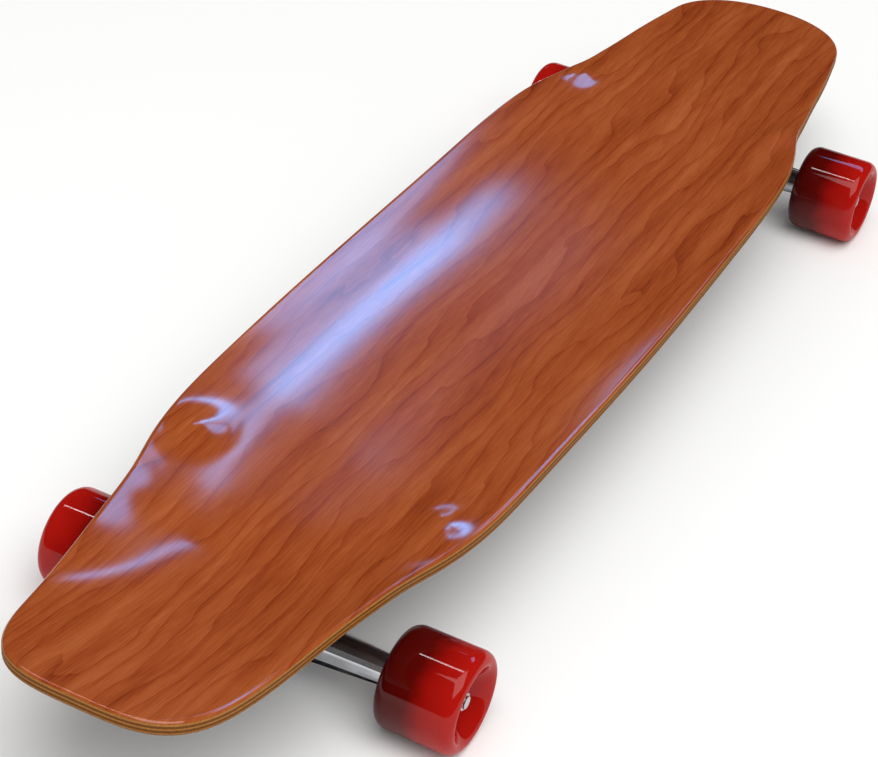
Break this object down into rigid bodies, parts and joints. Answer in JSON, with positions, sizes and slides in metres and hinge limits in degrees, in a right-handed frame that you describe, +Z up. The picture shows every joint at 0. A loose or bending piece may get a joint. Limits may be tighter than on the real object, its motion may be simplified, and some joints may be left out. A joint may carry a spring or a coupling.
{
  "type": "longboard skateboard",
  "caption": "Wooden longboard skateboard with a pressed, kicked deck, sprung steering trucks and red cast wheels that roll on ball bearings.",
  "frame": {"origin": "on the ground under the middle of the deck's length and width", "axes": "+X along the deck towards the nose, +Y to the rider's left facing the nose, +Z up"},
  "size_m": [1.015, 0.285, 0.1232],
  "materials": {
    "lacquered_plywood": "gloss lacquer",
    "cast_aluminium": "cast",
    "polished_aluminium": "polished",
    "plated_steel": "bright plated",
    "black_steel": "black oxide",
    "brass": "turned",
    "nylon": "matte",
    "urethane_black": "satin",
    "urethane_red": "gloss, translucent",
    "bearing_steel": "ground",
    "bearing_shield": "satin"
  },
  "bodies": {
    "deck": {"deck_plies": "lacquered_plywood", "front_baseplate": "cast_aluminium", "front_pivot_cup": "nylon", "front_kingpin": "black_steel", "front_kingpin_nut": "black_steel", "front_cup_washers": "black_steel", "front_mounting_screws": "black_steel", "front_threaded_inserts": "brass", "front_board_bushing": "urethane_black", "front_road_bushing": "urethane_black", "rear_baseplate": "cast_aluminium", "rear_pivot_cup": "nylon", "rear_kingpin": "black_steel", "rear_kingpin_nut": "black_steel", "rear_cup_washers": "black_steel", "rear_mounting_screws": "black_steel", "rear_threaded_inserts": "brass", "rear_board_bushing": "urethane_black", "rear_road_bushing": "urethane_black"},
    "front_hanger_set": {"front_hanger": "polished_aluminium", "front_axle": "plated_steel", "front_left_bearing_inner_rings": "bearing_steel", "front_left_bearing_spacer": "cast_aluminium", "front_left_speed_washers": "plated_steel", "front_left_axle_nut": "plated_steel", "front_right_bearing_inner_rings": "bearing_steel", "front_right_bearing_spacer": "cast_aluminium", "front_right_speed_washers": "plated_steel", "front_right_axle_nut": "plated_steel"},
    "front_left_wheel_set": {"front_left_wheel": "urethane_red", "front_left_bearing_outer_rings": "bearing_steel", "front_left_bearing_shields": "bearing_shield", "front_left_bearing_ball_cages": "bearing_steel"},
    "front_right_wheel_set": {"front_right_wheel": "urethane_red", "front_right_bearing_outer_rings": "bearing_steel", "front_right_bearing_shields": "bearing_shield", "front_right_bearing_ball_cages": "bearing_steel"},
    "rear_hanger_set": {"rear_hanger": "polished_aluminium", "rear_axle": "plated_steel", "rear_left_bearing_inner_rings": "bearing_steel", "rear_left_bearing_spacer": "cast_aluminium", "rear_left_speed_washers": "plated_steel", "rear_left_axle_nut": "plated_steel", "rear_right_bearing_inner_rings": "bearing_steel", "rear_right_bearing_spacer": "cast_aluminium", "rear_right_speed_washers": "plated_steel", "rear_right_axle_nut": "plated_steel"},
    "rear_left_wheel_set": {"rear_left_wheel": "urethane_red", "rear_left_bearing_outer_rings": "bearing_steel", "rear_left_bearing_shields": "bearing_shield", "rear_left_bearing_ball_cages": "bearing_steel"},
    "rear_right_wheel_set": {"rear_right_wheel": "urethane_red", "rear_right_bearing_outer_rings": "bearing_steel", "rear_right_bearing_shields": "bearing_shield", "rear_right_bearing_ball_cages": "bearing_steel"}
  },
  "joints": [
    {"name": "front_truck_lean", "type": "hinge", "parent": "deck", "child": "front_hanger_set", "pos_m": [0.37709, 0, 0.05651], "axis": [0.8192, 0, 0.5736], "range_deg": [-12, 12], "stiffness_Nm_per_rad": 60, "deforming": ["front_board_bushing", "front_road_bushing"]},
    {"name": "front_left_wheel_spin", "type": "hinge", "parent": "front_hanger_set", "child": "front_left_wheel_set", "pos_m": [0.3585, 0.1165, 0.0325], "axis": [0, 1, 0], "continuous": true},
    {"name": "front_right_wheel_spin", "type": "hinge", "parent": "front_hanger_set", "child": "front_right_wheel_set", "pos_m": [0.3585, -0.1165, 0.0325], "axis": [0, 1, 0], "continuous": true},
    {"name": "rear_truck_lean", "type": "hinge", "parent": "deck", "child": "rear_hanger_set", "pos_m": [-0.33209, 0, 0.05651], "axis": [-0.8192, 0, 0.5736], "range_deg": [-12, 12], "stiffness_Nm_per_rad": 60, "deforming": ["rear_board_bushing", "rear_road_bushing"]},
    {"name": "rear_left_wheel_spin", "type": "hinge", "parent": "rear_hanger_set", "child": "rear_left_wheel_set", "pos_m": [-0.3135, 0.1165, 0.0325], "axis": [0, 1, 0], "continuous": true},
    {"name": "rear_right_wheel_spin", "type": "hinge", "parent": "rear_hanger_set", "child": "rear_right_wheel_set", "pos_m": [-0.3135, -0.1165, 0.0325], "axis": [0, 1, 0], "continuous": true}
  ]
}
